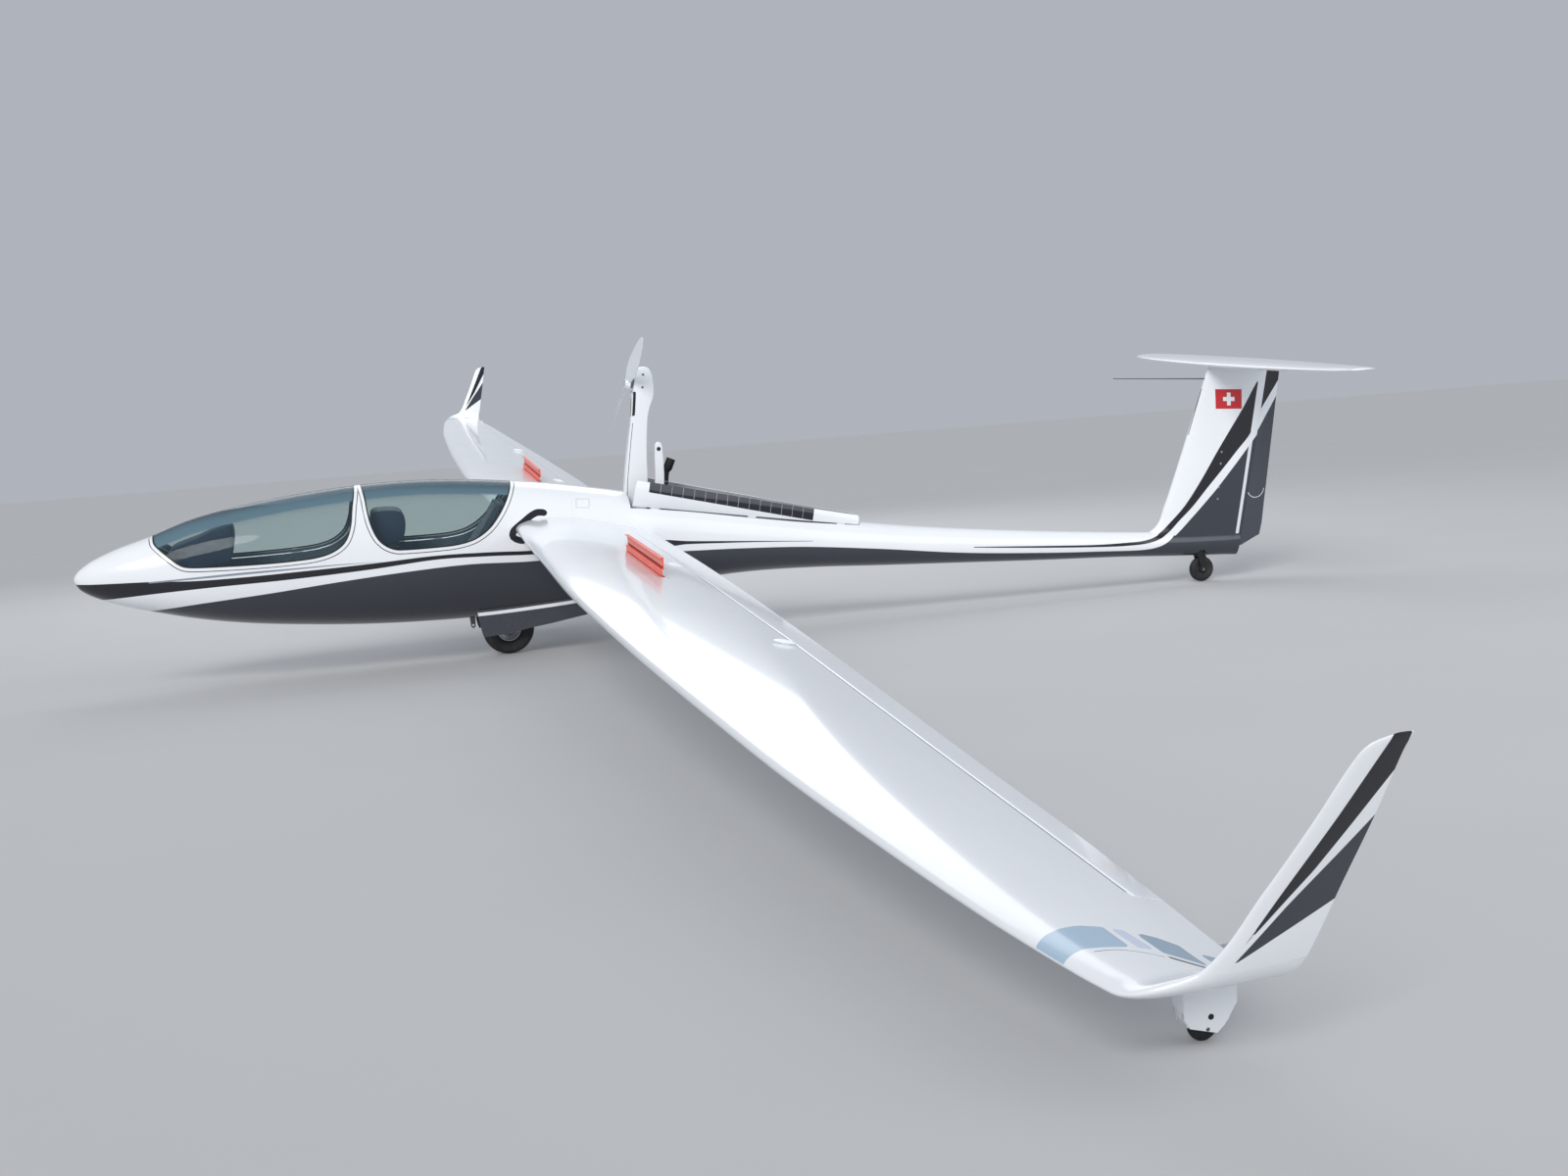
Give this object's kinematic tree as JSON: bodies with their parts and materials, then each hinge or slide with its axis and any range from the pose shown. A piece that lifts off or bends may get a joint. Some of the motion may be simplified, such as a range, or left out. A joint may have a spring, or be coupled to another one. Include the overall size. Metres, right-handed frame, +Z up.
{
  "type": "two-seat sailplane with retractable propeller",
  "caption": "Two-seat T-tailed sailplane with long upturned wings, airbrakes up and a propeller mast raised from its spine, parked on one wing tip wheel.",
  "frame": {"origin": "middle of the bounding box, on the ground that the wheels stand on", "axes": "+X from the nose to the tail, +Y to starboard along the span, +Z up; the craft leans 4.83 degrees to port"},
  "size_m": [9.1042, 19.9326, 2.4823],
  "materials": {
    "gelcoat": "white gelcoat",
    "slate": "dark slate metallic paint",
    "brake": "orange-red paint",
    "rubber": "black rubber",
    "glass": "tinted acrylic",
    "steel": "plain",
    "rim": "cast, matt",
    "soot": "heat-proof black",
    "trim": "dark blue",
    "cloth": "grey cloth"
  },
  "bodies": {
    "airframe": {"fuselage_front": "gelcoat", "fuselage_rear": "gelcoat", "fin": "gelcoat", "tailplane": "gelcoat", "wing_port": "gelcoat", "wing_starboard": "gelcoat", "winglet_port": "gelcoat", "winglet_starboard": "gelcoat", "tip_wheel_fairing_port": "gelcoat", "tip_wheel_fairing_starboard": "gelcoat", "gear_door_port": "slate", "gear_door_starboard": "slate", "gear_legs": "steel", "mast_bearers": "steel", "engine_block": "steel", "instruments_front": "trim", "instruments_rear": "trim", "seat_front": "trim", "seat_rear": "trim", "cushion_front": "cloth", "cushion_rear": "cloth", "stick_front": "soot", "stick_rear": "soot", "tow_release": "steel", "probe_tube": "steel"},
    "rudder": {"rudder": "slate"},
    "elevator": {"elevator": "gelcoat"},
    "flap_port": {"flap_port": "gelcoat"},
    "flap_starboard": {"flap_starboard": "gelcoat"},
    "aileron_port": {"aileron_port": "gelcoat"},
    "aileron_starboard": {"aileron_starboard": "gelcoat"},
    "airbrake_lower_port": {"airbrake_lower_port": "brake"},
    "airbrake_upper_port": {"airbrake_upper_port": "brake"},
    "airbrake_lower_starboard": {"airbrake_lower_starboard": "brake"},
    "airbrake_upper_starboard": {"airbrake_upper_starboard": "brake"},
    "canopy_front": {"canopy_front_frame": "gelcoat", "canopy_front_glass": "glass"},
    "canopy_rear": {"canopy_rear_frame": "gelcoat", "canopy_rear_glass": "glass"},
    "engine_door_port": {"engine_door_port": "gelcoat"},
    "engine_door_starboard": {"engine_door_starboard": "gelcoat"},
    "mast": {"mast_column": "gelcoat", "mast_arm": "gelcoat", "exhaust": "soot"},
    "prop_hub": {"prop_hub": "steel"},
    "propeller": {"propeller": "gelcoat"},
    "main_wheel": {"main_rim": "rim", "main_tyre": "rubber"},
    "tail_fork": {"tail_fork": "soot"},
    "tail_wheel": {"tail_rim": "rim", "tail_tyre": "rubber"},
    "tip_wheel_port": {"tip_wheel_port": "rubber"},
    "tip_wheel_starboard": {"tip_wheel_starboard": "rubber"}
  },
  "joints": [
    {"name": "main_wheel_spin", "type": "hinge", "parent": "airframe", "child": "main_wheel", "pos_m": [-1.6511, 0.12286, 0.18505], "axis": [0, 0.9964, 0.0842], "continuous": true},
    {"name": "tail_steer", "type": "hinge", "parent": "airframe", "child": "tail_fork", "pos_m": [3.8289, 0.11909, 0.22968], "axis": [0, -0.0842, 0.9964], "range_deg": [-30, 30]},
    {"name": "tail_wheel_spin", "type": "hinge", "parent": "tail_fork", "child": "tail_wheel", "pos_m": [3.8439, 0.13002, 0.10023], "axis": [0, 0.9964, 0.0842], "continuous": true},
    {"name": "tip_wheel_spin_port", "type": "hinge", "parent": "airframe", "child": "tip_wheel_port", "pos_m": [-0.9791, -9.36248, 0.03841], "axis": [0, 0.9964, 0.0842], "continuous": true},
    {"name": "tip_wheel_spin_starboard", "type": "hinge", "parent": "airframe", "child": "tip_wheel_starboard", "pos_m": [-0.9791, 9.49831, 1.63214], "axis": [0, 0.9964, 0.0842], "continuous": true},
    {"name": "mast_fold", "type": "hinge", "parent": "airframe", "child": "mast", "pos_m": [-0.6861, 0.06772, 0.83752], "axis": [0, 0.9964, 0.0842], "range_deg": [0, 93]},
    {"name": "prop_index", "type": "hinge", "parent": "mast", "child": "prop_hub", "pos_m": [-0.6571, -0.02026, 1.87881], "axis": [-0.9917, -0.0108, 0.1283], "range_deg": [0, 57]},
    {"name": "prop_spin", "type": "hinge", "parent": "prop_hub", "child": "propeller", "pos_m": [-0.6571, -0.02026, 1.87881], "axis": [-0.9917, -0.0108, 0.1283], "continuous": true},
    {"name": "canopy_front_open", "type": "hinge", "parent": "airframe", "child": "canopy_front", "pos_m": [-3.3361, 0.44222, 0.87117], "axis": [-1, 0, 0], "range_deg": [0, 75]},
    {"name": "canopy_rear_open", "type": "hinge", "parent": "airframe", "child": "canopy_rear", "pos_m": [-2.2111, 0.44222, 0.87117], "axis": [-1, 0, 0], "range_deg": [0, 75]},
    {"name": "engine_door_port_close", "type": "hinge", "parent": "airframe", "child": "engine_door_port", "pos_m": [-0.7301, -0.19322, 0.9921], "axis": [-0.9798, -0.111, 0.1664], "range_deg": [0, 69]},
    {"name": "engine_door_starboard_close", "type": "hinge", "parent": "airframe", "child": "engine_door_starboard", "pos_m": [-0.7301, 0.29903, 1.03369], "axis": [0.9798, -0.0815, -0.1827], "range_deg": [0, 69]},
    {"name": "rudder_swing", "type": "hinge", "parent": "airframe", "child": "rudder", "pos_m": [4.1889, 0.11403, 0.28947], "axis": [0.1844, -0.0828, 0.9794], "range_deg": [-30, 30]},
    {"name": "elevator_tilt", "type": "hinge", "parent": "airframe", "child": "elevator", "pos_m": [4.3019, -0.00603, 1.71041], "axis": [0, 0.9964, 0.0842], "range_deg": [-18, 16]},
    {"name": "flap_port_tilt", "type": "hinge", "parent": "airframe", "child": "flap_port", "pos_m": [-0.7761, -0.39213, 0.8164], "axis": [0.0142, 0.9975, 0.0688], "range_deg": [-8, 18]},
    {"name": "flap_starboard_tilt", "type": "hinge", "parent": "airframe", "child": "flap_starboard", "pos_m": [-0.7761, 0.5246, 0.89386], "axis": [-0.0142, 0.9949, 0.0995], "range_deg": [-8, 18]},
    {"name": "aileron_port_tilt", "type": "hinge", "parent": "airframe", "child": "aileron_port", "pos_m": [-0.8451, -5.18333, 0.48603], "axis": [0.0311, 0.9975, 0.0629], "range_deg": [-18, 12]},
    {"name": "aileron_starboard_tilt", "type": "hinge", "parent": "airframe", "child": "aileron_starboard", "pos_m": [-0.8451, 5.3033, 1.37215], "axis": [-0.0311, 0.9939, 0.1054], "range_deg": [-12, 18]},
    {"name": "airbrake_lower_port_slide", "type": "slide", "parent": "airframe", "child": "airbrake_lower_port", "axis": [0, 0.0842, -0.9964], "range_m": [0, 0.055]},
    {"name": "airbrake_upper_port_slide", "type": "slide", "parent": "airframe", "child": "airbrake_upper_port", "axis": [0, 0.0842, -0.9964], "range_m": [0, 0.11]},
    {"name": "airbrake_lower_starboard_slide", "type": "slide", "parent": "airframe", "child": "airbrake_lower_starboard", "axis": [0, 0.0842, -0.9964], "range_m": [0, 0.055]},
    {"name": "airbrake_upper_starboard_slide", "type": "slide", "parent": "airframe", "child": "airbrake_upper_starboard", "axis": [0, 0.0842, -0.9964], "range_m": [0, 0.11]}
  ],
  "couplings": [
    {"joint": "prop_index", "follows": "mast_fold", "ratio": 0.6129},
    {"joint": "tail_steer", "follows": "rudder_swing", "ratio": 1},
    {"joint": "flap_starboard_tilt", "follows": "flap_port_tilt", "ratio": 1},
    {"joint": "aileron_starboard_tilt", "follows": "aileron_port_tilt", "ratio": -1},
    {"joint": "airbrake_upper_port_slide", "follows": "airbrake_lower_port_slide", "ratio": 2},
    {"joint": "airbrake_lower_starboard_slide", "follows": "airbrake_lower_port_slide", "ratio": 1},
    {"joint": "airbrake_upper_starboard_slide", "follows": "airbrake_lower_port_slide", "ratio": 2}
  ]
}
